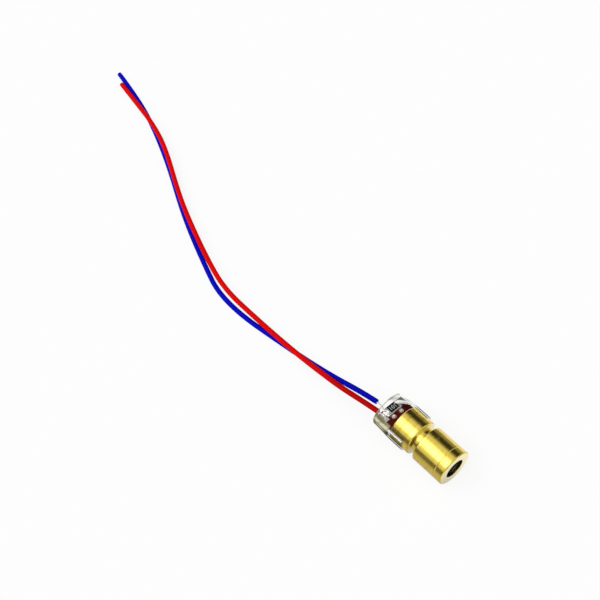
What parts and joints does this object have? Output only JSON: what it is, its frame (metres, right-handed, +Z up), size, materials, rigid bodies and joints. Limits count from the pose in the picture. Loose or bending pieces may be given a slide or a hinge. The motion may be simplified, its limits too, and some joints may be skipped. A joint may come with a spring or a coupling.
{
  "type": "laser diode module",
  "caption": "Small turned brass laser head with a collimating lens, laser diode and circuit board under a clear heat-shrink sleeve, with insulated lead wires trailing behind.",
  "frame": {"origin": "centre of the nose barrel's front face, on the beam axis", "axes": "+X along the beam, out of the aperture; +Z up from the surface that the module lies on; +Y to the left, seen along the beam"},
  "size_m": [0.1024, 0.0206, 0.0064],
  "materials": {
    "brass": "turned, bright, with fine tool rings",
    "lens": "polished clear acrylic",
    "spring_steel": "drawn wire, bright",
    "gilt_base": "gold-plated steel",
    "can_steel": "pressed, nickel-plated",
    "window_glass": "polished",
    "chip": "cleaved semiconductor, dark",
    "gilt_pins": "gold-plated, bright",
    "seal_glass": "fused glass",
    "red_board": "satin solder mask",
    "tinned_copper": "tinned, slightly uneven",
    "alumina": "fine matt ceramic",
    "black_glaze": "glazed",
    "tinned_caps": "tinned, satin",
    "solder": "bright, uneven",
    "clear_sleeve": "clear shrunk film",
    "red_insulation": "soft vinyl, satin",
    "blue_insulation": "soft vinyl, satin"
  },
  "bodies": {
    "root": {"lens_barrel": "brass", "diode_holder": "brass", "collimating_lens": "lens", "lens_spring": "spring_steel", "diode_base": "gilt_base", "diode_can": "can_steel", "diode_window": "window_glass", "laser_chip": "chip", "anode_pin": "gilt_pins", "cathode_pin": "gilt_pins", "anode_seal": "seal_glass", "circuit_board": "red_board", "solder_pads": "tinned_copper", "red_wire_core": "tinned_copper", "blue_wire_core": "tinned_copper", "resistor_body": "alumina", "resistor_coating": "black_glaze", "resistor_end_caps": "tinned_caps", "anode_solder": "solder", "cathode_solder": "solder", "resistor_solder": "solder", "red_wire_solder": "solder", "blue_wire_solder": "solder", "heatshrink_sleeve": "clear_sleeve", "red_wire": "red_insulation", "blue_wire": "blue_insulation"}
  },
  "joints": []
}
